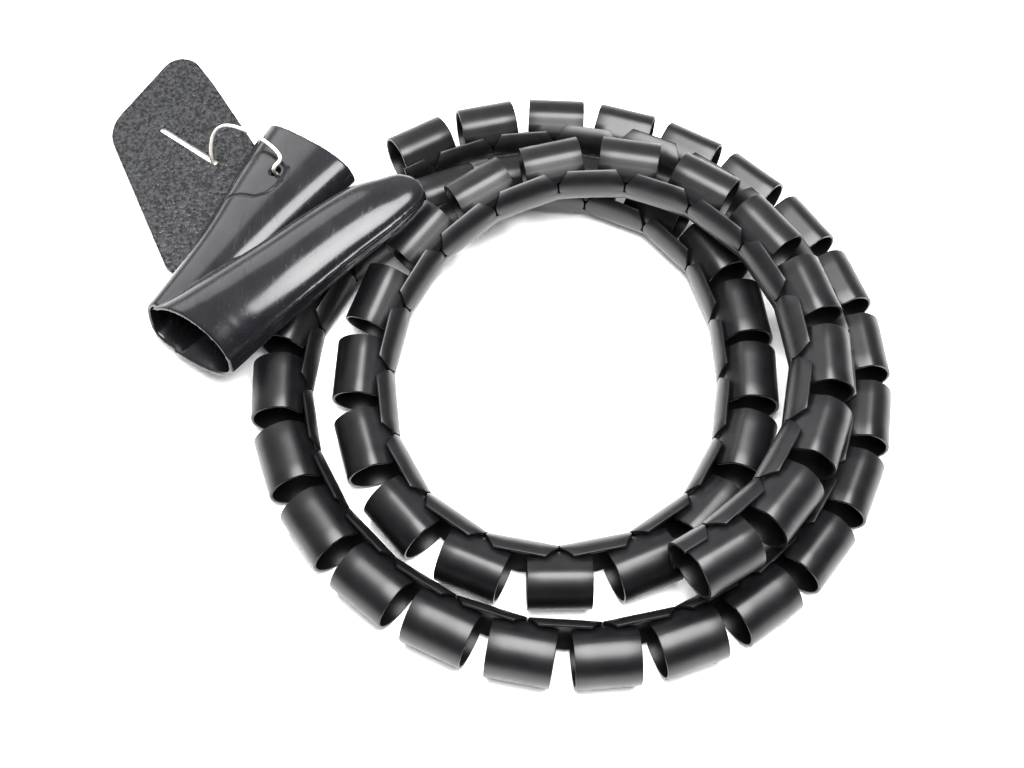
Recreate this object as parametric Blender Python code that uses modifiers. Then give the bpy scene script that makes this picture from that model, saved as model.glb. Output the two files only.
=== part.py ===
"""Spiral cable wrap: a slit tube of rings on one spine, coiled, with its threading tool on top.

Metres, +Z up. Every size and place is written with the coil's centre at x = y = 0 on the table,
z = 0. Last of all, the whole object is moved so that its box stands centred on the origin.
"""
import math

import bmesh
import bpy
from mathutils import Matrix, Vector

MM = 0.001

# The wrap's tube and the pattern cut into it
TUBE_OD = 25.7 * MM
TUBE_WALL = 1.2 * MM
PITCH = 29.4 * MM
RING_COUNT = 51
RING_WIDTH = 25.9 * MM
TOOTH_TOP = 21.2 * MM
TOOTH_SHOULDER = 25.6 * MM
SLIT_WIDTH = 0.6 * MM
RELIEF_HOLE = 1.5 * MM
FREE_END_TUCK = 1.1 * MM

# Heights round the tube, in degrees up from its innermost line
SPINE_LOW = -60.0
SPINE_MID = -27.0
HOLE_HEIGHT = 10.0
NOTCH_FOOT = 26.0
TOOTH_SHOULDER_HEIGHT = 41.0
TOOTH_TOP_HEIGHT = 58.0
RING_END_HEIGHT = 45.0
RING_TIP_HEIGHT = 27.0
FACET = 30.0
BAND_CORNERS = 8
# How far the teeth stand turned up round the tube, in degrees, at some of the teeth
TOOTH_ROLLS = (
    (0, 12.0), (4, 6.0), (6, -10.0), (9, -2.0), (13, 6.0), (16, 16.0), (17, 15.0), (19, -6.0),
    (21, -16.0), (24, -16.0), (29, -3.0), (31, -16.0), (34, -6.0), (38, -4.0), (40, 14.0),
    (47, 18.0), (49, -12.0), (51, -16.0),
)

# The coil's route: the spine line's turn, its distance from the centre, and the level it runs at,
# where level 0 lies on the table and level 1 lies on another strand
START_TURN = -67.0
STATION_STEP = 60.0
FIRST_STATION = -60.0
STATIONS = (
    (101.5, 0.95), (94.0, 0.88), (79.5, 1.0), (66.5, 0.82), (71.5, 0.22), (87.0, 0.0),
    (83.5, 0.0), (67.5, 0.0), (80.5, 0.0), (87.5, 0.0), (107.5, 0.0), (115.0, 0.0),
    (120.0, 0.0), (116.5, 0.0), (113.0, 0.0), (117.0, 0.0), (110.5, 0.0),
)
STRAND_GAP = 1.3 * MM

# The threading tool: a horn and a funnel that share one mouth, lying on the coil with its left
# side low. Its own axes start at the foot of the mouth: x along the horn, y to its left, z up
TOOL_DROP = 14.7 * MM  # how far its foot hangs below the top of the strands that it lies on
TOOL_PLACE = (-162.7 * MM, 6.4 * MM, TUBE_OD - TOOL_DROP)
TOOL_HEADING = 38.75
TOOL_LEAN = 14.0
TOOL_LEAN_LINE = 69.0
TOOL_WALL = 1.8 * MM
# Stations: x, y, heading of the section, width, height of its top, height of its foot
HORN = (
    (-0.5, -9.5, 18.0, 51.0, 26.5, -2.0),
    (14.0, -11.0, 14.0, 47.0, 27.5, 0.2),
    (27.0, -13.0, 10.0, 44.0, 28.5, 3.6),
    (50.0, -15.5, 3.0, 39.0, 30.0, 7.1),
    (75.0, -15.5, 0.0, 36.0, 29.5, 8.4),
    (95.0, -16.5, 0.0, 33.0, 28.5, 10.0),
    (107.0, -18.5, 0.0, 26.0, 26.5, 12.0),
    (114.0, -19.5, 0.0, 20.0, 25.0, 13.5),
    (118.0, -20.5, 0.0, 11.0, 22.5, 15.5),
)
FUNNEL = (
    (-4.0, 4.0, 18.0, 27.0, 22.0, -2.0),
    (35.0, 17.0, 12.0, 34.0, 22.5, 0.0),
    (65.0, 30.0, 10.0, 45.0, 22.5, 0.0),
    (96.5, 42.0, 14.0, 56.0, 22.0, 0.0),
)
MOUTH_RAKE = 0.3
FULLNESS = 2.7
WAIST = 0.42
SECTION_STEPS = 24

# The flange down the tool's left side, with the eye that the wire loop hangs in
FLANGE_THICK = 5.1 * MM
FLANGE_FOOT = -0.9 * MM
FLANGE_START = (-5.4 * MM, 22.9 * MM)
FLANGE_END = (84.5 * MM, 77.6 * MM)
FLANGE_WIDTH = 16.0 * MM
EYE_PLACE = (75.9 * MM, 33.5 * MM)
EYE_HOLE = 5.0 * MM
EYE_CUT_FOOT = 10.0 * MM
EYE_CUT_HEIGHT = 20.0 * MM

# The flat handle plate, lying on the wire loop and the table: each corner's x, y and radius
PLATE_THICK = 1.8 * MM
PLATE_FOOT = 2.1 * MM
PLATE_OUTLINE = (
    (-191.0, 181.5, 10.0), (-220.9, 128.0, 20.0), (-177.5, 42.0, 10.0), (-122.0, 72.0, 12.0),
    (-148.0, 120.0, 30.0), (-173.5, 158.5, 30.0),
)
CORNER_STEPS = 5
SLOT_WIDTH = 3.0 * MM
SLOT_ENDS = ((-195.1, 129.5), (-165.1, 108.9))

# The wire loop, from the plate's slot over to the eye, then back along the table
WIRE_OD = 1.8 * MM
LOOP_POINTS = (
    (-167.6, 110.6, 6.5), (-167.4, 113.0, 11.0), (-165.0, 116.6, 18.0), (-158.0, 115.0, 26.0),
    (-145.6, 106.4, 32.5), (-136.5, 98.0, 36.5), (-130.0, 91.0, 39.0), (-126.0, 84.5, 40.5),
    (-130.2, 80.0, 39.5), (-130.0, 83.0, 30.0), (-126.0, 88.0, 20.5), (-113.0, 108.0, 18.0),
    (-114.0, 122.0, 8.0), (-120.0, 133.0, 0.9), (-136.0, 131.0, 0.9), (-150.0, 121.0, 0.9),
    (-160.0, 112.0, 0.9), (-165.9, 109.4, 0.9), (-167.6, 110.6, 0.9),
)


def clear_scene():
    for thing in list(bpy.data.objects):
        bpy.data.objects.remove(thing, do_unlink=True)


def make_material(name, colour, roughness, metallic=0.0):
    material = bpy.data.materials.new(name)
    material.use_nodes = True
    shader = material.node_tree.nodes["Principled BSDF"]
    shader.inputs["Base Color"].default_value = (*colour, 1.0)
    shader.inputs["Roughness"].default_value = roughness
    shader.inputs["Metallic"].default_value = metallic
    return material


def collection_named(name, hidden=False):
    made = bpy.data.collections.new(name)
    bpy.context.scene.collection.children.link(made)
    made.hide_render = hidden
    return made


def object_from_bmesh(name, shape, collection, material=None):
    mesh = bpy.data.meshes.new(name)
    shape.to_mesh(mesh)
    shape.free()
    made = bpy.data.objects.new(name, mesh)
    collection.objects.link(made)
    if material:
        mesh.materials.append(material)
    return made


# The wrap

TUBE_R = TUBE_OD / 2
# The facet under the tube is flat on the table, so the corners stand a little outside the tube
CORNER_R = TUBE_R / math.cos(math.radians(FACET / 2))
END_R = CORNER_R - TUBE_WALL - FREE_END_TUCK
LEVEL_HEIGHT = TUBE_OD + STRAND_GAP


def curve_through(values, place):
    """A smooth run through evenly spaced values: a cubic between each two, with the neighbours' slope."""
    last = len(values) - 1
    place = min(max(place, 0.0), last - 1e-9)
    k = int(place)
    t = place - k
    a, b, c, d = (values[min(max(k + i, 0), last)] for i in (-1, 0, 1, 2))
    slope_b, slope_c = (c - a) / 2, (d - b) / 2
    return (
        b * (2 * t**3 - 3 * t**2 + 1) + slope_b * (t**3 - 2 * t**2 + t)
        + c * (3 * t**2 - 2 * t**3) + slope_c * (t**3 - t**2)
    )


def spine_point(turn):
    place = (turn - FIRST_STATION) / STATION_STEP
    radius = curve_through([r for r, _ in STATIONS], place) * MM
    level = max(0.0, curve_through([level for _, level in STATIONS], place))
    angle = math.radians(turn)
    return Vector((
        radius * math.cos(angle), radius * math.sin(angle), TUBE_R + level * LEVEL_HEIGHT
    ))


def spine_points():
    """The spine's bends, one pitch apart in a straight line."""
    turn = START_TURN
    points = [spine_point(turn)]
    for _ in range(RING_COUNT):
        low, high = turn, turn + 60.0
        while high - low > 1e-6:
            middle = (low + high) / 2
            if (spine_point(middle) - points[-1]).length < PITCH:
                low = middle
            else:
                high = middle
        turn = high
        points.append(spine_point(turn))
    return points


class RingFrame:
    """One ring's own axes: along the tube, out from the coil and up."""

    def __init__(self, start, end):
        self.along = (end - start).normalized()
        self.out = Vector((self.along.y, -self.along.x, 0.0)).normalized()
        self.up = self.out.cross(self.along)
        self.centre = (start + end) / 2 + self.out * TUBE_R

    def at(self, height, offset=0.0, radius=CORNER_R):
        """A point at this height in degrees round the tube and this far along it."""
        angle = math.radians(height)
        return (
            self.centre + self.along * offset
            + (self.up * math.sin(angle) - self.out * math.cos(angle)) * radius
        )

    def moved(self, distance):
        twin = RingFrame(self.centre, self.centre + self.along)
        twin.centre = self.centre + self.along * distance
        return twin


def tooth_roll(number):
    """How far this tooth is turned round the tube. A ring's number is half way between two teeth."""
    for (a, low), (b, high) in zip(TOOTH_ROLLS, TOOTH_ROLLS[1:]):
        if number <= b:
            break
    return low + (high - low) * (number - a) / (b - a)


def tooth_rows():
    """A tooth's edge from the foot of its relief hole to its flat top: the height, then the distance
    from the middle of the slit or, higher up, from the middle of the tooth."""
    hole_rise = math.degrees(RELIEF_HOLE / 2 / TUBE_R)
    return (
        (HOLE_HEIGHT, "slit", RELIEF_HOLE / 2),
        (HOLE_HEIGHT + hole_rise, "slit", SLIT_WIDTH / 2),
        (NOTCH_FOOT, "slit", SLIT_WIDTH / 2),
        (TOOTH_SHOULDER_HEIGHT, "tooth", TOOTH_SHOULDER / 2),
        (TOOTH_TOP_HEIGHT, "tooth", TOOTH_TOP / 2),
    ), HOLE_HEIGHT - hole_rise


def tooth_point(before, after, height, side=0, start="tooth", distance=0.0):
    """A point on a tooth, which is stiff and so stays straight between two rings' middles."""
    near, far = before.at(height), after.at(height)
    if start == "slit":
        distance = (far - near).length / 2 - distance
    return (near + far) / 2 + (far - near).normalized() * side * distance


def band_heights():
    """Corners of a ring from the spine's low edge round the outside to over the top."""
    first = -90.0 + FACET / 2
    return [first - FACET * k for k in range(BAND_CORNERS)]


def add_tooth(shape, frames, i, shared, has_left, has_right):
    before, after = frames[i], frames[i + 1]
    rows, hole_foot = tooth_rows()
    roll = tooth_roll(i)
    corner = (before.at(SPINE_LOW, PITCH / 2) + after.at(SPINE_LOW, -PITCH / 2)) / 2
    bent = (before.at(SPINE_MID, PITCH / 2) + after.at(SPINE_MID, -PITCH / 2)) / 2
    straight = tooth_point(before, after, SPINE_MID)
    gap_low = shape.verts.new(corner)
    gap_mid = shape.verts.new((bent + straight) / 2)
    heights = [hole_foot, *(height for height, _, _ in rows)]
    middle = [
        shape.verts.new(tooth_point(before, after, height + roll)) for height in heights
    ]
    for side, present, ring in ((-1, has_left, i - 1), (1, has_right, i)):
        if not present:
            continue
        edge = [shared[ring]["hole_foot"]]
        for height, start, distance in rows:
            edge.append(shape.verts.new(
                tooth_point(before, after, height + roll, side, start, distance)
            ))
        low = shared[ring]["right" if side < 0 else "left"]
        faces = [
            (gap_low, low, gap_mid),
            (low, shared[ring]["low"], shared[ring]["mid"], gap_mid),
            (gap_mid, shared[ring]["mid"], edge[0], middle[0]),
        ]
        faces += [
            (middle[k], edge[k], edge[k + 1], middle[k + 1]) for k in range(len(edge) - 1)
        ]
        for face in faces:
            shape.faces.new(face if side > 0 else face[::-1])


def add_ring(shape, frame, corners, roll):
    half = RING_WIDTH / 2
    heights = band_heights()
    heights[-1] += roll
    sides = []
    for height in heights:
        radius = CORNER_R if height > heights[-1] else (CORNER_R + END_R) / 2
        sides.append([
            shape.verts.new(frame.at(height, offset, radius)) for offset in (-half, half)
        ])
    end = [
        shape.verts.new(frame.at(RING_END_HEIGHT + roll, offset, END_R))
        for offset in (-half, half)
    ]
    tip = shape.verts.new(frame.at(RING_TIP_HEIGHT + roll, 0.0, END_R))
    sides.append(end)
    shape.faces.new((corners["left"], *sides[0], corners["right"], corners["low"]))
    for (a, b), (c, d) in zip(sides, sides[1:]):
        shape.faces.new((a, c, d, b))
    shape.faces.new((end[0], tip, end[1]))


def wrap_sheet():
    points = spine_points()
    rings = [RingFrame(a, b) for a, b in zip(points, points[1:])]
    frames = [rings[0].moved(-PITCH), *rings, rings[-1].moved(PITCH)]
    shape = bmesh.new()
    _, hole_foot = tooth_rows()
    shared = []
    for k, ring in enumerate(rings):
        shared.append({
            "left": shape.verts.new(ring.at(SPINE_LOW, -RING_WIDTH / 2)),
            "low": shape.verts.new(ring.at(SPINE_LOW)),
            "right": shape.verts.new(ring.at(SPINE_LOW, RING_WIDTH / 2)),
            "mid": shape.verts.new(ring.at(SPINE_MID)),
            "hole_foot": shape.verts.new(ring.at(
                hole_foot + min(tooth_roll(k), tooth_roll(k + 1))
            )),
        })
    for i in range(RING_COUNT + 1):
        add_tooth(shape, frames, i, shared, i > 0, i < RING_COUNT)
    for k, (ring, corners) in enumerate(zip(rings, shared)):
        add_ring(shape, ring, corners, tooth_roll(k + 0.5))
    return shape


def build_wrap(collection):
    material = make_material("wrap_plastic", (0.012, 0.012, 0.014), 0.38)
    wrap = object_from_bmesh("spiral_wrap", wrap_sheet(), collection, material)
    wall = wrap.modifiers.new("wall", "SOLIDIFY")
    wall.thickness = TUBE_WALL
    wall.offset = 1.0
    wall.use_even_offset = True
    return wrap


# The threading tool

UP = Vector((0.0, 0.0, 1.0))


def rounded_section(width, top, foot):
    """A full, rounded section, widest at its waist: (sideways, up) all the way round."""
    waist = foot + (top - foot) * WAIST
    power = 2 / FULLNESS
    points = []
    for step in range(SECTION_STEPS):
        angle = 2 * math.pi * step / SECTION_STEPS
        across, rise = math.cos(angle), math.sin(angle)
        tall = top - waist if rise > 0 else waist - foot
        points.append((
            width / 2 * math.copysign(abs(across) ** power, across),
            waist + tall * math.copysign(abs(rise) ** power, rise),
        ))
    return points


def loft(sections):
    """A closed solid through rings of points, with its two ends filled."""
    shape = bmesh.new()
    rings = [[shape.verts.new(p) for p in section] for section in sections]
    for a, b in zip(rings, rings[1:]):
        for k in range(len(a)):
            n = (k + 1) % len(a)
            shape.faces.new((a[k], a[n], b[n], b[k]))
    shape.faces.new(rings[0][::-1])
    shape.faces.new(rings[-1])
    bmesh.ops.recalc_face_normals(shape, faces=shape.faces)
    return shape


def station_ring(x, y, heading, width, top, foot, ahead=0.0, rake=0.0):
    """One station's section placed on the tool: ahead moves it along its own heading, and rake
    leans it so that its top is further ahead than its foot."""
    turn = math.radians(heading)
    along = Vector((math.cos(turn), math.sin(turn), 0.0))
    left = Vector((-math.sin(turn), math.cos(turn), 0.0))
    base = Vector((x, y, 0.0)) + along * ahead
    return [
        (base + left * across + along * rake * (rise - (top + foot) / 2) + UP * rise) * MM
        for across, rise in rounded_section(width, top, foot)
    ]


def outer_shell(stations):
    mouth = station_ring(*stations[0], rake=MOUTH_RAKE)
    return loft([mouth, *(station_ring(*station) for station in stations[1:])])


def inner_space(stations, ends_open, stop=None):
    """The hollow inside a shell, one wall smaller all round and longer at its open ends."""
    wall = TOOL_WALL / MM
    rings = []
    used = stations[:stop]
    for k, (x, y, heading, width, top, foot) in enumerate(used):
        smaller = (x, y, heading, width - 2 * wall, top - wall, foot + wall)
        rake = MOUTH_RAKE if k == 0 else 0.0
        if k == 0:
            rings.append(station_ring(*smaller, ahead=-8.0, rake=rake))
        rings.append(station_ring(*smaller, rake=rake))
        if k == len(used) - 1 and ends_open:
            rings.append(station_ring(*smaller, ahead=8.0))
    return loft(rings)


def flange_outline():
    """The flange seen from above: a strip down the left side, with a round ear for the eye."""
    start, end = Vector(FLANGE_START), Vector(FLANGE_END)
    along = (end - start).normalized()
    right = Vector((along.y, -along.x))
    return [start, end, end + right * FLANGE_WIDTH, start + right * FLANGE_WIDTH]


def prism(outline, foot, height):
    """An outline seen from above, raised into a plate."""
    shape = bmesh.new()
    base = shape.faces.new([shape.verts.new((*point, foot)) for point in outline])
    raised = bmesh.ops.extrude_face_region(shape, geom=[base])
    top = [v for v in raised["geom"] if isinstance(v, bmesh.types.BMVert)]
    bmesh.ops.translate(shape, verts=top, vec=(0.0, 0.0, height))
    bmesh.ops.recalc_face_normals(shape, faces=shape.faces)
    return shape


def cylinder(place, radius, foot, height, sides=16):
    shape = bmesh.new()
    bmesh.ops.create_cone(
        shape, cap_ends=True, segments=sides, radius1=radius, radius2=radius, depth=height,
        matrix=Matrix.Translation((*place, foot + height / 2)),
    )
    return shape


def apply_boolean(target, other, operation):
    step = target.modifiers.new(other.name, "BOOLEAN")
    step.operation = operation
    step.solver = "EXACT"
    step.object = other


def tool_matrix():
    lean_line = math.radians(TOOL_LEAN_LINE)
    axis = Vector((math.cos(lean_line), math.sin(lean_line), 0.0))
    lean = Matrix.Rotation(math.radians(-TOOL_LEAN), 4, axis)
    heading = Matrix.Rotation(math.radians(TOOL_HEADING), 4, "Z")
    return Matrix.Translation(TOOL_PLACE) @ lean @ heading


def build_tool(collection, cutters):
    material = make_material("tool_plastic", (0.010, 0.010, 0.011), 0.12)
    tool = object_from_bmesh("threading_tool", outer_shell(HORN), collection, material)
    joined = {
        "funnel_shell": outer_shell(FUNNEL),
        "side_flange": prism(flange_outline(), FLANGE_FOOT, FLANGE_THICK),
    }
    removed = {
        "horn_space": inner_space(HORN, False, 8),
        "funnel_space": inner_space(FUNNEL, True),
        "eye_hole": cylinder(EYE_PLACE, EYE_HOLE / 2, EYE_CUT_FOOT, EYE_CUT_HEIGHT),
    }
    pose = tool_matrix()
    tool.matrix_world = pose
    for name, shape in (*joined.items(), *removed.items()):
        helper = object_from_bmesh(name, shape, cutters)
        helper.matrix_world = pose
        helper.hide_render = True
        helper.display_type = "WIRE"
        apply_boolean(tool, helper, "UNION" if name in joined else "DIFFERENCE")
    return tool


# The handle plate and the wire loop

def rounded_outline(corners):
    """The outline's points in metres, each corner turned into an arc of its own radius."""
    points = []
    for k, (x, y, radius) in enumerate(corners):
        corner = Vector((x, y))
        back = (Vector(corners[k - 1][:2]) - corner).normalized()
        ahead = (Vector(corners[(k + 1) % len(corners)][:2]) - corner).normalized()
        half = back.angle(ahead) / 2
        middle = corner + (back + ahead).normalized() * (radius / math.sin(half))
        start = corner + back * (radius / math.tan(half)) - middle
        turn = math.copysign(math.pi - 2 * half, back.cross(ahead) * -1)
        for step in range(CORNER_STEPS + 1):
            angle = -turn * step / CORNER_STEPS
            arm = Matrix.Rotation(-angle, 2) @ start
            points.append((middle + arm) * MM)
    return points


def build_plate(collection, cutters):
    material = make_material("plate_plastic", (0.06, 0.06, 0.065), 0.45)
    outline = prism(rounded_outline(PLATE_OUTLINE), PLATE_FOOT, PLATE_THICK)
    plate = object_from_bmesh("handle_plate", outline, collection, material)

    start, end = (Vector((x, y)) * MM for x, y in SLOT_ENDS)
    along = (end - start).normalized()
    left = Vector((-along.y, along.x)) * SLOT_WIDTH / 2
    slot = prism(
        [start - left, end - left, end + left, start + left], 0.0, 2 * (PLATE_FOOT + PLATE_THICK)
    )
    cutter = object_from_bmesh("slot", slot, cutters)
    cutter.hide_render = True
    cutter.display_type = "WIRE"
    apply_boolean(plate, cutter, "DIFFERENCE")
    return plate


def build_loop(collection):
    """A closed loop of wire through the plate's slot, over to the tool's eye and back below."""
    route = bpy.data.curves.new("wire_loop", "CURVE")
    route.dimensions = "3D"
    route.bevel_depth = WIRE_OD / 2
    route.bevel_resolution = 1
    route.resolution_u = 3
    spline = route.splines.new("NURBS")
    spline.points.add(len(LOOP_POINTS) - 1)
    for point, place in zip(spline.points, LOOP_POINTS):
        point.co = (*(Vector(place) * MM), 1.0)
    spline.order_u = 3
    spline.use_cyclic_u = True
    loop = bpy.data.objects.new("wire_loop", route)
    collection.objects.link(loop)
    route.materials.append(make_material("galvanised_wire", (0.72, 0.71, 0.66), 0.3, 0.6))
    return loop


def stand_on_origin(pieces, helpers):
    """Moves everything so that the whole object's box stands centred on the origin."""
    bpy.context.view_layer.update()
    graph = bpy.context.evaluated_depsgraph_get()
    corners = []
    for piece in pieces:
        evaluated = piece.evaluated_get(graph)
        mesh = evaluated.to_mesh()
        corners += [evaluated.matrix_world @ vertex.co for vertex in mesh.vertices]
        evaluated.to_mesh_clear()
    low = Vector([min(corner[k] for corner in corners) for k in range(3)])
    high = Vector([max(corner[k] for corner in corners) for k in range(3)])
    shift = Matrix.Translation((-(low.x + high.x) / 2, -(low.y + high.y) / 2, -low.z))
    for thing in (*pieces, *helpers):
        thing.matrix_world = shift @ thing.matrix_world


def main():
    clear_scene()
    parts = collection_named("spiral_cable_wrap")
    cutters = collection_named("cutters", hidden=True)
    build_wrap(parts)
    build_tool(parts, cutters)
    build_plate(parts, cutters)
    build_loop(parts)
    stand_on_origin(list(parts.objects), list(cutters.objects))


main()
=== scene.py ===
"""The looks of the coiled spiral cable wrap with its threading tool, handle plate and wire loop."""
import math

import bmesh
import bpy
from mathutils import Matrix, Vector, noise


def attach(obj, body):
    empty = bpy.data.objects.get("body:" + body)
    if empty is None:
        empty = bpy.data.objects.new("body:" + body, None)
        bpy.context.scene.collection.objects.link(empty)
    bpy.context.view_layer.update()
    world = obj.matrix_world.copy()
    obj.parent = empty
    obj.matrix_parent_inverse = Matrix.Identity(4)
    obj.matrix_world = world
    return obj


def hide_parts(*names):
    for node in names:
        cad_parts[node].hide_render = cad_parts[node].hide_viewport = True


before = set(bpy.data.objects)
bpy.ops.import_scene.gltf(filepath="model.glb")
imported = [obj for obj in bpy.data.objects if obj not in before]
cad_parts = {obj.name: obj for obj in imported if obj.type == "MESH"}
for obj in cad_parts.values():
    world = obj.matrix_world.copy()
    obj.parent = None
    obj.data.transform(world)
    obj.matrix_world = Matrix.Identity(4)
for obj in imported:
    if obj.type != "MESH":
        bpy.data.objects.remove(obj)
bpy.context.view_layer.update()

# Shapes are written in millimetres with the coil's centre at x = y = 0 on the table, as in the
# part's source. TO_ROW takes them to the row frame, in metres.
MM = 0.001
COIL_CENTRE = Vector((38.146, -14.782, 0.0))
TO_ROW = Matrix.Scale(MM, 4) @ Matrix.Translation(COIL_CENTRE)
UP = Vector((0.0, 0.0, 1.0))


# Small helpers

def new_object(name, mesh):
    made = bpy.data.objects.new(name, mesh)
    bpy.context.scene.collection.objects.link(made)
    return made


def object_from_bmesh(name, shape):
    mesh = bpy.data.meshes.new(name)
    shape.to_mesh(mesh)
    shape.free()
    return new_object(name, mesh)


def apply_modifiers(thing):
    """Replaces the object's mesh by its evaluated one, so that nothing is left to evaluate."""
    bpy.context.view_layer.update()
    graph = bpy.context.evaluated_depsgraph_get()
    mesh = bpy.data.meshes.new_from_object(thing.evaluated_get(graph), depsgraph=graph)
    thing.modifiers.clear()
    thing.data = mesh
    return thing


def shade_smooth(mesh, crease_angle=60.0):
    mesh.polygons.foreach_set("use_smooth", [True] * len(mesh.polygons))
    mesh.set_sharp_from_angle(angle=math.radians(crease_angle))


def finish_piece(thing, node, material):
    """Dresses a piece and lets it stand for its CAD node."""
    thing.data.materials.clear()
    thing.data.materials.append(material)
    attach(thing, "root")
    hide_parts(node)


# Materials

class Nodes:
    """Short calls for building one material's node tree."""

    def __init__(self, name):
        self.material = bpy.data.materials.new(name)
        self.material.use_nodes = True
        self.tree = self.material.node_tree
        self.shader = self.tree.nodes["Principled BSDF"]
        self.place = self.add("ShaderNodeTexCoord").outputs["Object"]

    def add(self, kind, **settings):
        node = self.tree.nodes.new(kind)
        for key, value in settings.items():
            if key in node.inputs:
                node.inputs[key].default_value = value
            else:
                setattr(node, key, value)
        return node

    def link(self, source, target):
        self.tree.links.new(source, target)

    def noise(self, scale, detail=2.0, stretch=None):
        texture = self.add("ShaderNodeTexNoise", Scale=scale, Detail=detail)
        place = self.place
        if stretch:
            mapping = self.add("ShaderNodeMapping", Scale=stretch)
            self.link(place, mapping.inputs["Vector"])
            place = mapping.outputs["Vector"]
        self.link(place, texture.inputs["Vector"])
        return texture.outputs["Fac"]

    def ramp(self, source, *stops):
        node = self.add("ShaderNodeValToRGB")
        elements = node.color_ramp.elements
        while len(elements) < len(stops):
            elements.new(0.5)
        for element, (position, colour) in zip(elements, stops):
            element.position = position
            value = colour if isinstance(colour, tuple) else (colour,) * 3
            element.color = (*value, 1.0)
        self.link(source, node.inputs["Fac"])
        return node.outputs["Color"]

    def bump(self, height, strength, distance, below=None):
        node = self.add("ShaderNodeBump", Strength=strength, Distance=distance)
        self.link(height, node.inputs["Height"])
        if below:
            self.link(below, node.inputs["Normal"])
        return node.outputs["Normal"]

    def set(self, **inputs):
        for key, value in inputs.items():
            socket = self.shader.inputs[key.replace("_", " ")]
            if isinstance(value, bpy.types.NodeSocket):
                self.link(value, socket)
            else:
                socket.default_value = value


def wrap_material():
    """Satin black polyethylene: a broad sheen, faint mottling and fine drawn lines."""
    nodes = Nodes("satin_black_polyethylene")
    mottle = nodes.noise(160.0, 4.0)
    fine = nodes.noise(2600.0, 2.0)
    nodes.set(
        Base_Color=nodes.ramp(mottle, (0.3, (0.004, 0.004, 0.005)), (0.7, (0.008, 0.008, 0.009))),
        Roughness=nodes.ramp(nodes.noise(70.0, 5.0), (0.25, 0.34), (0.75, 0.42)),
        Normal=nodes.bump(fine, 0.10, 0.00005, nodes.bump(mottle, 0.12, 0.0001)),
        Specular_IOR_Level=0.75,
    )
    return nodes.material


def tool_material():
    """Glossy black moulding with fine scuffs."""
    nodes = Nodes("glossy_black_moulding")
    scuffs = nodes.noise(900.0, 6.0, (1.0, 0.12, 1.0))
    nodes.set(
        Base_Color=nodes.ramp(nodes.noise(90.0, 3.0), (0.3, (0.010, 0.010, 0.012)),
                              (0.7, (0.017, 0.017, 0.020))),
        Roughness=nodes.ramp(scuffs, (0.35, 0.16), (0.60, 0.20), (0.72, 0.34)),
        Normal=nodes.bump(nodes.noise(60.0, 2.0), 0.12, 0.0002),
        Specular_IOR_Level=0.8,
    )
    return nodes.material


def plate_material():
    """Dark grey grained plastic, with painted shade in the grain's creases and a soft painted sheen on
    the grain's tops.
    """
    nodes = Nodes("grained_grey_plastic")
    grain_and_sheen = nodes.noise(620.0, 2.0)
    nodes.set(
        # The colour follows the grain's height: painted shade in its creases, a painted sheen on its tops
        Base_Color=nodes.ramp(grain_and_sheen, (0.38, (0.010, 0.010, 0.011)), (0.62, (0.050, 0.051, 0.055))),
        Roughness=nodes.ramp(nodes.noise(1500.0, 2.0), (0.3, 0.24), (0.7, 0.36)),
        Normal=nodes.bump(grain_and_sheen, 0.8, 0.0011),
        Specular_IOR_Level=0.6,
    )
    return nodes.material


def wire_material():
    """Galvanised steel wire, dull and a little warm, with drawn streaks."""
    nodes = Nodes("galvanised_steel_wire")
    spangle = nodes.noise(1400.0, 4.0)
    nodes.set(
        Base_Color=nodes.ramp(spangle, (0.3, (0.62, 0.60, 0.55)), (0.7, (0.80, 0.78, 0.73))),
        Metallic=0.55,
        Roughness=nodes.ramp(spangle, (0.3, 0.28), (0.7, 0.42)),
        Normal=nodes.bump(spangle, 0.15, 0.00005),
    )
    return nodes.material


def floor_material():
    nodes = Nodes("white_table")
    nodes.set(
        Base_Color=(0.90, 0.90, 0.90, 1.0), Roughness=0.7,
        Emission_Color=(1.0, 1.0, 1.0, 1.0), Emission_Strength=FLOOR_GLOW,
    )
    return nodes.material


# The wrap: one slit tube of rings on a spine, coiled

TUBE_R = 25.7 / 2
TUBE_WALL = 1.2
PITCH = 29.4
RING_COUNT = 51
RING_WIDTH = 25.9
TOOTH_TOP = 21.2
TOOTH_SHOULDER = 25.6
SLIT_WIDTH = 0.6
RELIEF_HOLE_R = 0.75
FREE_END_TUCK = 0.4  # clear space between a ring's free end and the teeth above it
EDGE_ROUND = 0.2
WRAP_CREASE = 50.0  # sharper edges of the wrap are rounded
WELD_GAP = 0.002

# Heights round the tube, in degrees up from its innermost line
SPINE_LOW = -60.0
STRAIGHT_FROM = -12.0
HOLE_HEIGHT = 10.0
SLIT_MIDDLE = 19.5
NOTCH_FOOT = 26.0
TOOTH_SHOULDER_HEIGHT = 41.0
TOOTH_TOP_HEIGHT = 58.0
RING_TOP = -270.0
RING_TUCKED = -297.0
RING_TAPER = -315.0
RING_TIP = -333.0
BAND_STEP = 7.5
HEIGHT_TOLERANCE = 0.01
# Where the roll of the teeth starts and where it is full, on a tooth and on a ring's back
TOOTH_ROLL_SPAN = (-45.0, 0.0)
BAND_ROLL_SPAN = (-200.0, -285.0)
# How far the teeth stand turned up round the tube, in degrees, at some of the teeth
TOOTH_ROLLS = (
    (0, 12.0), (4, 6.0), (6, -10.0), (9, -2.0), (13, 6.0), (16, 16.0), (17, 15.0), (19, -6.0),
    (21, -16.0), (24, -16.0), (29, -3.0), (31, -16.0), (34, -6.0), (38, -4.0), (40, 14.0),
    (47, 18.0), (49, -12.0), (51, -16.0),
)

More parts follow.
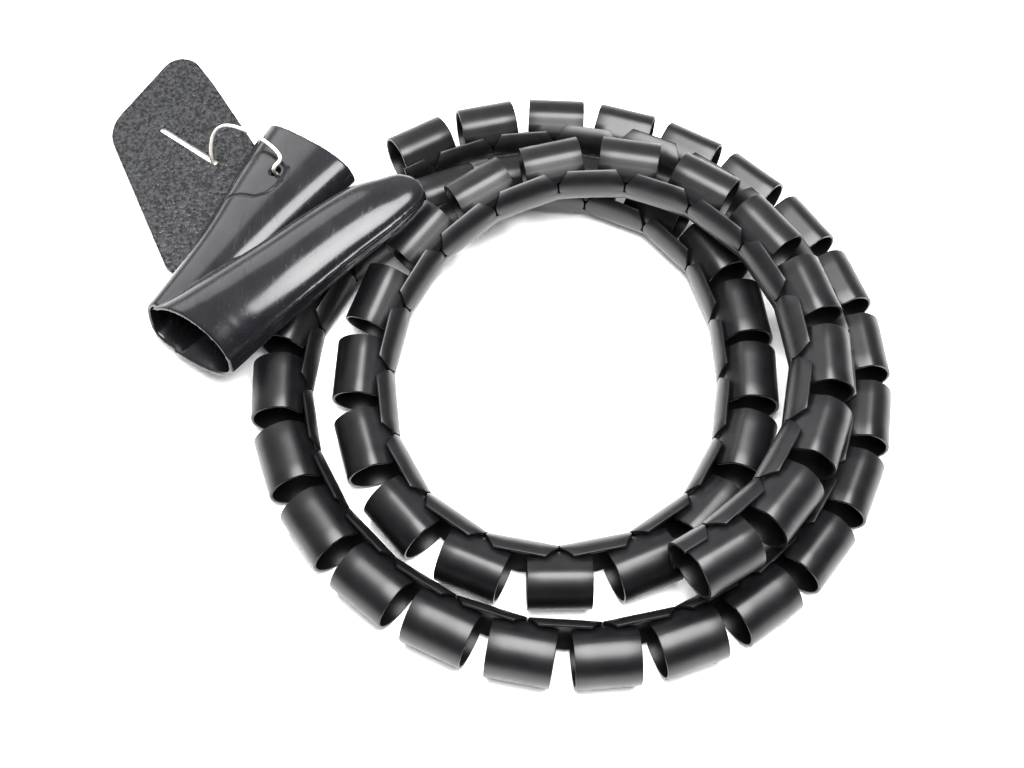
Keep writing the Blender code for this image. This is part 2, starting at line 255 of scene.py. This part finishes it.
START_TURN = -67.0
STATION_STEP = 60.0
FIRST_STATION = -60.0
STATIONS = (
    (101.5, 0.95), (94.0, 0.88), (79.5, 1.0), (66.5, 0.82), (71.5, 0.22), (87.0, 0.0),
    (83.5, 0.0), (67.5, 0.0), (80.5, 0.0), (87.5, 0.0), (107.5, 0.0), (115.0, 0.0),
    (120.0, 0.0), (116.5, 0.0), (113.0, 0.0), (117.0, 0.0), (110.5, 0.0),
)
LEVEL_CLEARANCE = 1.3
LEVEL_HEIGHT = 2 * TUBE_R + LEVEL_CLEARANCE
RING_TURN_MOST = 60.0  # more than one ring ever turns round the coil
TURN_ACCURACY = 1e-6

# Places across a tooth, as shares of its half width. The middle three stand over the open gap
# between two rings where the tooth's foot meets them
GAP_SHARE = 1.0 - RING_WIDTH / PITCH
SIDE_SHARE = 0.56
TOOTH_COLUMNS = (-1.0, -SIDE_SHARE, -GAP_SHARE, 0.0, GAP_SHARE, SIDE_SHARE, 1.0)


def curve_through(values, place):
    """A smooth run through evenly spaced values: a cubic between each two, with the neighbours' slope."""
    last = len(values) - 1
    place = min(max(place, 0.0), last - 1e-9)
    k = int(place)
    t = place - k
    a, b, c, d = (values[min(max(k + i, 0), last)] for i in (-1, 0, 1, 2))
    slope_b, slope_c = (c - a) / 2, (d - b) / 2
    return (
        b * (2 * t**3 - 3 * t**2 + 1) + slope_b * (t**3 - 2 * t**2 + t)
        + c * (3 * t**2 - 2 * t**3) + slope_c * (t**3 - t**2)
    )


def smooth_step(value, start, end):
    share = min(max((value - start) / (end - start), 0.0), 1.0)
    return share * share * (3.0 - 2.0 * share)


def spine_point(turn):
    place = (turn - FIRST_STATION) / STATION_STEP
    radius = curve_through([r for r, _ in STATIONS], place)
    level = max(0.0, curve_through([level for _, level in STATIONS], place))
    angle = math.radians(turn)
    return Vector((
        radius * math.cos(angle), radius * math.sin(angle), TUBE_R + level * LEVEL_HEIGHT
    ))


def spine_points():
    """The spine's bends, one pitch apart in a straight line."""
    turn = START_TURN
    points = [spine_point(turn)]
    for _ in range(RING_COUNT):
        low, high = turn, turn + RING_TURN_MOST
        while high - low > TURN_ACCURACY:
            middle = (low + high) / 2
            if (spine_point(middle) - points[-1]).length < PITCH:
                low = middle
            else:
                high = middle
        turn = high
        points.append(spine_point(turn))
    return points


class RingFrame:
    """One ring's own axes: along the tube, out from the coil and up."""

    def __init__(self, start, end):
        self.along = (end - start).normalized()
        self.out = Vector((self.along.y, -self.along.x, 0.0)).normalized()
        self.up = self.out.cross(self.along)
        self.centre = (start + end) / 2 + self.out * TUBE_R

    def at(self, height, offset=0.0, radius=TUBE_R):
        """A point at this height in degrees round the tube and this far along it."""
        angle = math.radians(height)
        return (
            self.centre + self.along * offset
            + (self.up * math.sin(angle) - self.out * math.cos(angle)) * radius
        )

    def moved(self, distance):
        twin = RingFrame(self.centre, self.centre + self.along)
        twin.centre = self.centre + self.along * distance
        return twin


def tooth_roll(number):
    """How far this tooth is turned round the tube. A ring's number is half way between two teeth."""
    for (a, low), (b, high) in zip(TOOTH_ROLLS, TOOTH_ROLLS[1:]):
        if number <= b:
            break
    return low + (high - low) * (number - a) / (b - a)


def steps_up(low, high, count):
    """This many evenly spaced heights over the low one, the last of them the high one."""
    return [low + (high - low) * k / count for k in range(1, count + 1)]


def tooth_rows():
    """Heights of the rows of a tooth from its foot on the spine to its flat top."""
    hole = math.degrees(RELIEF_HOLE_R / TUBE_R)
    return [
        SPINE_LOW,
        *steps_up(SPINE_LOW, HOLE_HEIGHT - hole, 9),
        *(HOLE_HEIGHT - hole * math.cos(math.radians(angle)) for angle in range(30, 181, 30)),
        SLIT_MIDDLE,
        NOTCH_FOOT,
        *steps_up(NOTCH_FOOT, TOOTH_SHOULDER_HEIGHT, 3),
        *steps_up(TOOTH_SHOULDER_HEIGHT, TOOTH_TOP_HEIGHT, 4),
    ]


def tooth_half_width(height, room):
    """Half the tooth's width at this height, where room is the distance to the slit's middle."""
    rise = math.radians(abs(height - HOLE_HEIGHT)) * TUBE_R
    slit = SLIT_WIDTH / 2
    hole = math.sqrt(max(RELIEF_HOLE_R**2 - rise**2, 0.0))
    if height < HOLE_HEIGHT:
        return room - hole
    if height <= NOTCH_FOOT:
        return room - max(slit, hole)
    if height <= TOOTH_SHOULDER_HEIGHT:
        share = (height - NOTCH_FOOT) / (TOOTH_SHOULDER_HEIGHT - NOTCH_FOOT)
        return (room - slit) * (1 - share) + TOOTH_SHOULDER / 2 * share
    share = (height - TOOTH_SHOULDER_HEIGHT) / (TOOTH_TOP_HEIGHT - TOOTH_SHOULDER_HEIGHT)
    return TOOTH_SHOULDER / 2 * (1 - share) + TOOTH_TOP / 2 * share


def turned_height(number, height, share):
    """The height that this tooth's roll brings a point to. Up to the relief holes the tooth still
    hangs together with its neighbours, so its edges turn with the lower one of the two."""
    roll = tooth_roll(number)
    if height < HOLE_HEIGHT - math.degrees(RELIEF_HOLE_R / TUBE_R) + HEIGHT_TOLERANCE:
        neighbour = tooth_roll(min(max(number + math.copysign(1, share), 0), RING_COUNT))
        roll += (min(roll, neighbour) - roll) * abs(share)
    return height + roll * smooth_step(height, *TOOTH_ROLL_SPAN)


def tooth_spot(number, before, after, height, share):
    """A point on the tooth between two rings. Its foot bends with the rings, and its upper part is
    stiff and stays straight between their middles."""
    turned = turned_height(number, height, share)
    near, far = before.at(turned), after.at(turned)
    room = (far - near).length / 2
    half = tooth_half_width(height, room)
    straight = (near + far) / 2 + (far - near).normalized() * half * share
    from_before = before.at(turned, PITCH / 2 * (1 + share))
    from_after = after.at(turned, -PITCH / 2 * (1 - share))
    lean = smooth_step(share, -GAP_SHARE, GAP_SHARE)
    bent = from_before.lerp(from_after, lean)
    return bent.lerp(straight, smooth_step(height, SPINE_LOW, STRAIGHT_FROM))


def add_tooth(shape, frames, number, has_left, has_right):
    before, after = frames[number], frames[number + 1]
    columns = [
        share for share in TOOTH_COLUMNS
        if (share <= 0 or has_right) and (share >= 0 or has_left)
    ]
    rows = [
        [shape.verts.new(tooth_spot(number, before, after, height, share)) for share in columns]
        for height in tooth_rows()
    ]
    for low, high in zip(rows, rows[1:]):
        for k in range(len(columns) - 1):
            shape.faces.new((low[k], low[k + 1], high[k + 1], high[k]))


def band_rows():
    """(height, radius, share of the ring's width) from the spine's low edge round to the tip."""
    tucked = TUBE_R - TUBE_WALL - FREE_END_TUCK
    count = round((SPINE_LOW - RING_TOP) / BAND_STEP)
    rows = [(SPINE_LOW - BAND_STEP * k, TUBE_R, 1.0) for k in range(count + 1)]
    for k in range(1, 5):
        share = k / 4
        height = RING_TOP + (RING_TUCKED - RING_TOP) * share
        rows.append((height, TUBE_R + (tucked - TUBE_R) * smooth_step(share, 0.0, 1.0), 1.0))
    rows.append((RING_TAPER, tucked, 1.0))
    for share in (0.25, 0.5, 0.75, 0.93):
        rows.append((RING_TAPER + (RING_TIP - RING_TAPER) * share, tucked, 1.0 - share))
    return rows


def add_band(shape, ring, roll):
    """One ring's back and free end, whose columns meet those of the teeth on both sides."""
    offsets = [PITCH / 2 * share for share in (
        -1 + GAP_SHARE, -1 + SIDE_SHARE, 0.0, 1 - SIDE_SHARE, 1 - GAP_SHARE
    )]
    rows = [
        [
            shape.verts.new(ring.at(
                height + roll * smooth_step(height, *BAND_ROLL_SPAN), offset * width, radius
            )) for offset in offsets
        ]
        for height, radius, width in band_rows()
    ]
    for low, high in zip(rows, rows[1:]):
        for k in range(len(offsets) - 1):
            shape.faces.new((low[k], high[k], high[k + 1], low[k + 1]))


def build_wrap():
    points = spine_points()
    rings = [RingFrame(a, b) for a, b in zip(points, points[1:])]
    frames = [rings[0].moved(-PITCH), *rings, rings[-1].moved(PITCH)]
    shape = bmesh.new()
    for i in range(RING_COUNT + 1):
        add_tooth(shape, frames, i, i > 0, i < RING_COUNT)
    for k, ring in enumerate(rings):
        add_band(shape, ring, tooth_roll(k + 0.5))
    bmesh.ops.remove_doubles(shape, verts=shape.verts, dist=WELD_GAP)
    shape.transform(TO_ROW)
    wrap = object_from_bmesh("wrap_rings_and_spine", shape)
    wall = wrap.modifiers.new("wall", "SOLIDIFY")
    wall.thickness = TUBE_WALL * MM
    wall.offset = 1.0
    wall.use_even_offset = True
    edge = wrap.modifiers.new("edge", "BEVEL")
    edge.width = EDGE_ROUND * MM
    edge.segments = 2
    edge.limit_method = "ANGLE"
    edge.angle_limit = math.radians(WRAP_CREASE)
    edge.use_clamp_overlap = True
    apply_modifiers(wrap)
    shade_smooth(wrap.data, WRAP_CREASE)
    finish_piece(wrap, "spiral_wrap", wrap_material())
    return wrap


# The threading tool. Its own axes: x along the horn, y to its left, z up

TOOL_PLACE = Vector((-162.7, 6.4, 11.0))
TOOL_HEADING = 38.75
TOOL_LEAN = 14.0
TOOL_LEAN_LINE = 69.0
TOOL_WALL = 1.8
# Stations: x, y, heading of the section, width, height of its top, height of its foot
HORN = (
    (-0.5, -9.5, 18.0, 51.0, 26.5, -2.0),
    (14.0, -11.0, 14.0, 47.0, 27.5, 0.2),
    (27.0, -13.0, 10.0, 44.0, 28.5, 3.6),
    (50.0, -15.5, 3.0, 39.0, 30.0, 7.1),
    (75.0, -15.5, 0.0, 36.0, 29.5, 8.4),
    (95.0, -16.5, 0.0, 33.0, 28.5, 10.0),
    (107.0, -18.5, 0.0, 26.0, 26.5, 12.0),
    (114.0, -19.5, 0.0, 20.0, 25.0, 13.5),
    (118.0, -20.5, 0.0, 11.0, 22.5, 15.5),
)
FUNNEL = (
    (-4.0, 4.0, 18.0, 27.0, 22.0, -2.0),
    (35.0, 17.0, 12.0, 34.0, 22.5, 0.0),
    (65.0, 30.0, 10.0, 45.0, 22.5, 0.0),
    (96.5, 42.0, 14.0, 56.0, 22.0, 0.0),
)
MOUTH_RAKE = 0.3
# How full a section is over its waist and below it, where 2 is an ellipse
HORN_FULLNESS = (1.95, 2.3)
FUNNEL_FULLNESS = (2.6, 2.6)
WAIST = 0.42
SECTION_STEPS = 144
# Two rails low on the horn's right side: degrees round the section, then height over the skin
HORN_RAILS = ((167.0, 0.8), (191.0, 0.9))
RAIL_HALF_WIDTH = 5.0
LOFT_STEPS = 8  # rings between two stations

FLANGE_FOOT = -0.9
FLANGE_THICK = 5.1
FLANGE_START = Vector((-5.4, 22.9))
FLANGE_END = Vector((84.5, 77.6))
FLANGE_WIDTH = 16.0
EYE_PLACE = (75.9, 33.5)
EYE_HOLE = 5.0
EYE_CUT_FOOT = 10.0
EYE_CUT_HEIGHT = 20.0
# The bevel's upper line: share of the way along the flange, then x, y and height on the tool
BEVEL_LINE = (
    (0.0, (-1.5, 17.5, 6.5)), (0.27, (18.9, 11.4, 22.0)), (1.0, (87.2, 46.8, 22.0)),
)
BEVEL_THICK = 3.0
BOSS_LINE = (
    (51.0, 40.0), (54.0, 37.5), (56.8, 34.5), (58.6, 31.5), (61.0, 27.5), (66.2, 24.8),
    (72.3, 25.4), (77.5, 27.8), (81.0, 30.5),
)
BOSS_LINE_HALF_WIDTH = 1.0
BOSS_LINE_DEPTH = 0.55
# The line only marks the funnel's top, inside this box on the tool
BOSS_BOX = ((50.0, 22.0, 12.0), (86.0, 46.0, 30.0))
HORN_HOLLOW_STATIONS = 6  # the horn is solid from here to its tip
HOLLOW_OVERRUN = 8.0
TOOL_VOXEL = 0.55
TOOL_TRIANGLES = 170000


def tool_matrix():
    lean_line = math.radians(TOOL_LEAN_LINE)
    axis = Vector((math.cos(lean_line), math.sin(lean_line), 0.0))
    lean = Matrix.Rotation(math.radians(-TOOL_LEAN), 4, axis)
    heading = Matrix.Rotation(math.radians(TOOL_HEADING), 4, "Z")
    return Matrix.Translation(TOOL_PLACE) @ lean @ heading


def rounded_section(width, top, foot, fullness, rails=()):
    """A full, rounded section, widest at its waist: (sideways, up) all the way round."""
    waist = foot + (top - foot) * WAIST
    points = []
    for step in range(SECTION_STEPS):
        degrees = 360.0 * step / SECTION_STEPS
        angle = math.radians(degrees)
        across, rise = math.cos(angle), math.sin(angle)
        tall, power = (top - waist, 2 / fullness[0]) if rise > 0 else (waist - foot, 2 / fullness[1])
        bulge = sum(
            height * max(0.0, 1.0 - abs(degrees - middle) / RAIL_HALF_WIDTH)
            for middle, height in rails
        )
        points.append((
            width / 2 * math.copysign(abs(across) ** power, across) + bulge * across,
            waist + tall * math.copysign(abs(rise) ** power, rise) + bulge * rise,
        ))
    return points


def station_ring(x, y, heading, width, top, foot, fullness, ahead=0.0, rake=0.0, rails=()):
    turn = math.radians(heading)
    along = Vector((math.cos(turn), math.sin(turn), 0.0))
    left = Vector((-math.sin(turn), math.cos(turn), 0.0))
    base = Vector((x, y, 0.0)) + along * ahead
    return [
        base + left * across + along * rake * (rise - (top + foot) / 2) + UP * rise
        for across, rise in rounded_section(width, top, foot, fullness, rails)
    ]


def smooth_stations(stations):
    """The stations with a smooth run of others between them, each with its share of mouth rake."""
    runs = []
    for step in range((len(stations) - 1) * LOFT_STEPS + 1):
        place = step / LOFT_STEPS
        values = [curve_through(column, place) for column in zip(*stations)]
        runs.append((values, MOUTH_RAKE * max(0.0, 1.0 - place)))
    return runs


def loft(rings):
    shape = bmesh.new()
    placed = [[shape.verts.new(p) for p in ring] for ring in rings]
    for a, b in zip(placed, placed[1:]):
        for k in range(len(a)):
            n = (k + 1) % len(a)
            shape.faces.new((a[k], a[n], b[n], b[k]))
    shape.faces.new(placed[0][::-1])
    shape.faces.new(placed[-1])
    bmesh.ops.recalc_face_normals(shape, faces=shape.faces)
    return shape


def outer_shell(stations, fullness, rails=()):
    return loft([
        station_ring(*values, fullness, rake=rake, rails=rails)
        for values, rake in smooth_stations(stations)
    ])


def side_bevel():
    """The flat bevel from the flange's outer edge up to a straight line on the funnel's top."""
    top = FLANGE_FOOT + FLANGE_THICK
    rings = []
    for share, (x, y, z) in BEVEL_LINE:
        edge = FLANGE_START.lerp(FLANGE_END, share)
        rings.append([Vector(corner) for corner in (
            (edge.x, edge.y, FLANGE_FOOT), (edge.x, edge.y, top), (x, y, z),
            (x, y, z - BEVEL_THICK),
        )])
    return loft(rings)


def carve_boss_line(mesh):
    """Presses the fine line round the eye's boss into the funnel's top."""
    line = [Vector(point) for point in BOSS_LINE]
    for vertex in mesh.vertices:
        place = vertex.co
        if not all(low < value < high for low, value, high in zip(BOSS_BOX[0], place, BOSS_BOX[1])):
            continue
        spot = Vector(place[:2])
        nearest = min(
            (spot - a.lerp(b, min(max((spot - a).dot(b - a) / (b - a).length_squared, 0), 1))).length
            for a, b in zip(line, line[1:])
        )
        vertex.co.z -= BOSS_LINE_DEPTH * (1.0 - smooth_step(nearest, 0.0, BOSS_LINE_HALF_WIDTH))


def inner_space(stations, fullness, ends_open, stop=None):
    """The hollow inside a shell, one wall smaller all round and longer at its open ends."""
    rings = []
    used = smooth_stations(stations)[:stop]
    for k, ((x, y, heading, width, top, foot), rake) in enumerate(used):
        smaller = (x, y, heading, width - 2 * TOOL_WALL, top - TOOL_WALL, foot + TOOL_WALL)
        if k == 0:
            rings.append(station_ring(*smaller, fullness, ahead=-HOLLOW_OVERRUN, rake=rake))
        rings.append(station_ring(*smaller, fullness, rake=rake))
        if k == len(used) - 1 and ends_open:
            rings.append(station_ring(*smaller, fullness, ahead=HOLLOW_OVERRUN))
    return loft(rings)


def prism(outline, foot, height):
    shape = bmesh.new()
    base = shape.faces.new([shape.verts.new((*point, foot)) for point in outline])
    raised = bmesh.ops.extrude_face_region(shape, geom=[base])
    top = [v for v in raised["geom"] if isinstance(v, bmesh.types.BMVert)]
    bmesh.ops.translate(shape, verts=top, vec=(0.0, 0.0, height))
    bmesh.ops.recalc_face_normals(shape, faces=shape.faces)
    return shape


def cylinder(place, radius, foot, height, sides=32):
    shape = bmesh.new()
    bmesh.ops.create_cone(
        shape, cap_ends=True, segments=sides, radius1=radius, radius2=radius, depth=height,
        matrix=Matrix.Translation((*place, foot + height / 2)),
    )
    return shape


def flange_outline():
    along = (FLANGE_END - FLANGE_START).normalized()
    right = Vector((along.y, -along.x))
    return [
        FLANGE_START, FLANGE_END, FLANGE_END + right * FLANGE_WIDTH,
        FLANGE_START + right * FLANGE_WIDTH,
    ]


def boolean(target, shape, operation):
    other = object_from_bmesh("helper", shape)
    step = target.modifiers.new("step", "BOOLEAN")
    step.operation = operation
    step.solver = "EXACT"
    step.object = other
    apply_modifiers(target)
    bpy.data.objects.remove(other, do_unlink=True)


def build_tool():
    tool = object_from_bmesh(
        "threading_tool_shell", outer_shell(HORN, HORN_FULLNESS, HORN_RAILS)
    )
    boolean(tool, outer_shell(FUNNEL, FUNNEL_FULLNESS), "UNION")
    boolean(tool, prism(flange_outline(), FLANGE_FOOT, FLANGE_THICK), "UNION")
    boolean(tool, side_bevel(), "UNION")
    horn_hollow = inner_space(HORN, HORN_FULLNESS, False, HORN_HOLLOW_STATIONS * LOFT_STEPS)
    boolean(tool, horn_hollow, "DIFFERENCE")
    boolean(tool, inner_space(FUNNEL, FUNNEL_FULLNESS, True), "DIFFERENCE")
    boolean(tool, cylinder(EYE_PLACE, EYE_HOLE / 2, EYE_CUT_FOOT, EYE_CUT_HEIGHT), "DIFFERENCE")
    remesh = tool.modifiers.new("skin", "REMESH")
    remesh.mode = "VOXEL"
    remesh.voxel_size = TOOL_VOXEL
    relax = tool.modifiers.new("relax", "SMOOTH")
    relax.factor = 0.5
    relax.iterations = 4
    apply_modifiers(tool)
    carve_boss_line(tool.data)
    tool.data.transform(TO_ROW @ tool_matrix())
    fewer = tool.modifiers.new("fewer", "DECIMATE")
    fewer.ratio = min(1.0, TOOL_TRIANGLES / (2 * len(tool.data.polygons)))
    apply_modifiers(tool)
    shade_smooth(tool.data)
    finish_piece(tool, "threading_tool", tool_material())
    return tool


# The handle plate and the wire loop

PLATE_THICK = 1.8
PLATE_FOOT = 2.1
# Corners: x, y and radius
PLATE_OUTLINE = (
    (-191.0, 181.5, 10.0), (-220.9, 128.0, 20.0), (-177.5, 42.0, 10.0), (-122.0, 72.0, 12.0),
    (-148.0, 120.0, 30.0), (-173.5, 158.5, 30.0),
)
CORNER_STEPS = 10
SLOT_WIDTH = 3.0
SLOT_ENDS = (Vector((-195.1, 129.5)), Vector((-165.1, 108.9)))
PLATE_VOXEL = 0.6
GRAIN_SIZE = 1.9
GRAIN_DEPTH = 0.16
GRAIN_BEND = 0.45  # how far the grain's islands are pulled out of shape, in grains
GRAIN_BEND_RATE = 0.8
GRAIN_SEED = 7  # fixes the bends, so that each run gives the same grain
CREASE_WIDTH = 0.35
TOP_FACING = 0.7  # a surface that looks up at least this much has the grain

WIRE_OD = 1.8
LOOP_POINTS = (
    (-167.6, 110.6, 6.5), (-167.4, 113.0, 11.0), (-165.0, 116.6, 18.0), (-158.0, 115.0, 26.0),
    (-145.6, 106.4, 32.5), (-136.5, 98.0, 36.5), (-130.0, 91.0, 39.0), (-126.0, 84.5, 40.5),
    (-130.2, 80.0, 39.5), (-130.0, 83.0, 30.0), (-126.0, 88.0, 20.5), (-113.0, 108.0, 18.0),
    (-114.0, 122.0, 8.0), (-120.0, 133.0, 0.9), (-136.0, 131.0, 0.9), (-150.0, 121.0, 0.9),
    (-160.0, 112.0, 0.9), (-165.9, 109.4, 0.9), (-167.6, 110.6, 0.9),
)


def rounded_outline(corners):
    points = []
    for k, (x, y, radius) in enumerate(corners):
        corner = Vector((x, y))
        back = (Vector(corners[k - 1][:2]) - corner).normalized()
        ahead = (Vector(corners[(k + 1) % len(corners)][:2]) - corner).normalized()
        half = back.angle(ahead) / 2
        middle = corner + (back + ahead).normalized() * (radius / math.sin(half))
        start = corner + back * (radius / math.tan(half)) - middle
        turn = math.copysign(math.pi - 2 * half, back.cross(ahead) * -1)
        for step in range(CORNER_STEPS + 1):
            angle = -turn * step / CORNER_STEPS
            points.append(middle + Matrix.Rotation(-angle, 2) @ start)
    return points


def slot_outline():
    start, end = SLOT_ENDS
    along = (end - start).normalized()
    left = Vector((-along.y, along.x)) * SLOT_WIDTH / 2
    return [start - left, end - left, end + left, start + left]


def leather_height(place):
    """The grain's height from 0 to 1: flat islands with creases between them."""
    spot = Vector((place.x, place.y, 0.0)) / GRAIN_SIZE
    spot += noise.noise_vector(spot * GRAIN_BEND_RATE) * GRAIN_BEND
    distances, _ = noise.voronoi(spot)
    return smooth_step(distances[1] - distances[0], 0.0, CREASE_WIDTH)


def build_plate():
    plate = object_from_bmesh(
        "grained_handle_plate", prism(rounded_outline(PLATE_OUTLINE), PLATE_FOOT, PLATE_THICK)
    )
    boolean(plate, prism(slot_outline(), 0.0, 2 * (PLATE_FOOT + PLATE_THICK)), "DIFFERENCE")
    remesh = plate.modifiers.new("skin", "REMESH")
    remesh.mode = "VOXEL"
    remesh.voxel_size = PLATE_VOXEL
    apply_modifiers(plate)
    mesh = plate.data
    noise.seed_set(GRAIN_SEED)
    for vertex in mesh.vertices:
        if vertex.normal.z > TOP_FACING:
            vertex.co.z -= GRAIN_DEPTH * (1.0 - leather_height(vertex.co))
    mesh.transform(TO_ROW)
    shade_smooth(mesh)
    finish_piece(plate, "handle_plate", plate_material())
    return plate


def build_loop():
    route = bpy.data.curves.new("steel_wire_loop", "CURVE")
    route.dimensions = "3D"
    route.bevel_depth = WIRE_OD / 2 * MM
    route.bevel_resolution = 6
    route.resolution_u = 14
    spline = route.splines.new("NURBS")
    spline.points.add(len(LOOP_POINTS) - 1)
    for point, place in zip(spline.points, LOOP_POINTS):
        point.co = (*(TO_ROW @ Vector(place)), 1.0)
    spline.order_u = 3
    spline.use_cyclic_u = True
    curve = new_object("wire_route", route)
    bpy.context.view_layer.update()
    graph = bpy.context.evaluated_depsgraph_get()
    mesh = bpy.data.meshes.new_from_object(curve.evaluated_get(graph))
    bpy.data.objects.remove(curve, do_unlink=True)
    loop = new_object("steel_wire_loop", mesh)
    shade_smooth(mesh)
    finish_piece(loop, "wire_loop", wire_material())
    return loop


# The stage

CAMERA_PLACE = (0.01668, -0.28409, 0.51027)
CAMERA_TILT = 0.4776
CAMERA_ROLL = 0.0202
CAMERA_LENS = 45.7
SENSOR_WIDTH = 36.0
FLOOR_HALF_WIDTH = 4.0
# Each light's name, place and target, and its discs' diameters and powers
LIGHTS = (
    ("lamp", (0.09, -0.10, 0.64), (0.09, -0.10, 0.0), ((0.64, 9.0), (0.44, 6.5), (0.26, 3.0))),
    ("window", (-0.62, 0.72, 0.46), (-0.07, 0.04, 0.03), ((0.62, 2.0), (0.46, 1.6))),
)
# The room's light: its pale side, and its levels from dark to pale over this span of facing it
PALE_SIDE = (-0.35, 0.75, 0.5)
ROOM_FACING = (-0.3, 1.0)
ROOM_LEVELS = (0.10, 0.9)
FLOOR_GLOW = 0.12
PICTURE_GAMMA = 0.75


def build_camera():
    data = bpy.data.cameras.new("camera")
    data.lens = CAMERA_LENS
    data.sensor_width = SENSOR_WIDTH
    data.clip_start = 0.01
    camera = new_object("camera", data)
    camera.matrix_world = (
        Matrix.Translation(CAMERA_PLACE) @ Matrix.Rotation(CAMERA_TILT, 4, "X")
        @ Matrix.Rotation(CAMERA_ROLL, 4, "Z")
    )
    bpy.context.scene.camera = camera


def light_sky(world):
    """A room that is pale behind the object and dark in front of it, with no hard edges."""
    world.use_nodes = True
    tree = world.node_tree
    background = tree.nodes["Background"]
    way = tree.nodes.new("ShaderNodeTexCoord").outputs["Generated"]
    facing = tree.nodes.new("ShaderNodeVectorMath")
    facing.operation = "DOT_PRODUCT"
    facing.inputs[1].default_value = Vector(PALE_SIDE).normalized()
    tree.links.new(way, facing.inputs[0])
    fade = tree.nodes.new("ShaderNodeMapRange")
    fade.interpolation_type = "SMOOTHSTEP"
    ends = ("From Min", "From Max", "To Min", "To Max")
    for name, value in zip(ends, (*ROOM_FACING, *ROOM_LEVELS)):
        fade.inputs[name].default_value = value
    tree.links.new(facing.outputs["Value"], fade.inputs["Value"])
    background.inputs["Color"].default_value = (1.0, 1.0, 1.0, 1.0)
    tree.links.new(fade.outputs["Result"], background.inputs["Strength"])


def add_lights():
    """Soft lights, each of them several discs on one spot, the smaller the brighter."""
    for name, place, target, discs in LIGHTS:
        for k, (diameter, power) in enumerate(discs):
            data = bpy.data.lights.new(f"{name}_{k}", "AREA")
            data.shape = "DISK"
            data.size = diameter
            data.energy = power
            light = new_object(data.name, data)
            light.location = place
            aim = Vector(target) - Vector(place)
            light.rotation_euler = aim.to_track_quat("-Z", "Y").to_euler()


def build_stage():
    shape = bmesh.new()
    bmesh.ops.create_grid(shape, x_segments=1, y_segments=1, size=FLOOR_HALF_WIDTH)
    floor = object_from_bmesh("table", shape)
    floor.data.materials.append(floor_material())
    world = bpy.data.worlds.new("studio")
    light_sky(world)
    add_lights()
    scene = bpy.context.scene
    scene.world = world
    scene.view_settings.view_transform = "Standard"
    scene.view_settings.gamma = PICTURE_GAMMA


build_camera()
build_stage()
build_wrap()
build_tool()
build_plate()
build_loop()
